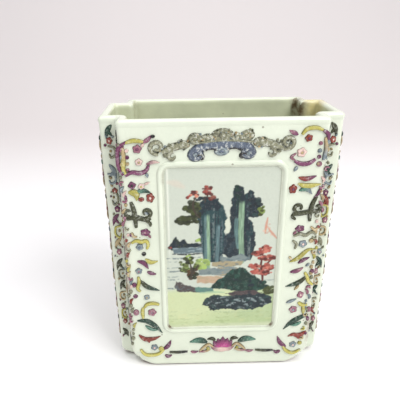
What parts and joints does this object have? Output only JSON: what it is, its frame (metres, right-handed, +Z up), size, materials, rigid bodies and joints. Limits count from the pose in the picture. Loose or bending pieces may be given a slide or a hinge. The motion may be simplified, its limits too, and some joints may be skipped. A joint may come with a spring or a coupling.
{
  "type": "brush pot",
  "caption": "Rectangular porcelain brush pot with indented corners, framed landscape panels and enamelled relief scrolls.",
  "frame": {"origin": "centre of the foot, on the surface that the pot stands on", "axes": "+Z up the pot, X along the wide faces, +Y towards the back face"},
  "size_m": [0.101, 0.0478, 0.12],
  "materials": {
    "porcelain": "clear glaze over white body",
    "lip": "thick cream glaze",
    "foot": "unglazed biscuit",
    "frame_bead": "clear glaze over moulded bead",
    "collar_enamel": "grey and blue overglaze enamel",
    "lotus_enamel": "rose and green overglaze enamel",
    "scroll_enamel": "overglaze enamels in many colours"
  },
  "bodies": {
    "root": {"base_slab": "porcelain", "foot_ring": "foot", "mouth_rim": "lip", "front_wall": "porcelain", "back_wall": "porcelain", "left_wall": "porcelain", "right_wall": "porcelain", "corner_front_left": "porcelain", "corner_front_right": "porcelain", "corner_back_left": "porcelain", "corner_back_right": "porcelain", "front_panel_frame": "frame_bead", "back_panel_frame": "frame_bead", "left_panel_frame": "frame_bead", "right_panel_frame": "frame_bead", "front_cloud_collar": "collar_enamel", "back_cloud_collar": "collar_enamel", "left_cloud_collar": "collar_enamel", "right_cloud_collar": "collar_enamel", "front_lotus_spray": "lotus_enamel", "back_lotus_spray": "lotus_enamel", "left_lotus_spray": "lotus_enamel", "right_lotus_spray": "lotus_enamel", "front_scrolls_left": "scroll_enamel", "front_scrolls_right": "scroll_enamel", "back_scrolls_left": "scroll_enamel", "back_scrolls_right": "scroll_enamel", "left_scrolls_front": "scroll_enamel", "left_scrolls_back": "scroll_enamel", "right_scrolls_front": "scroll_enamel", "right_scrolls_back": "scroll_enamel", "corner_spray_front_left": "scroll_enamel", "corner_spray_front_right": "scroll_enamel", "corner_spray_back_left": "scroll_enamel", "corner_spray_back_right": "scroll_enamel"}
  },
  "joints": []
}
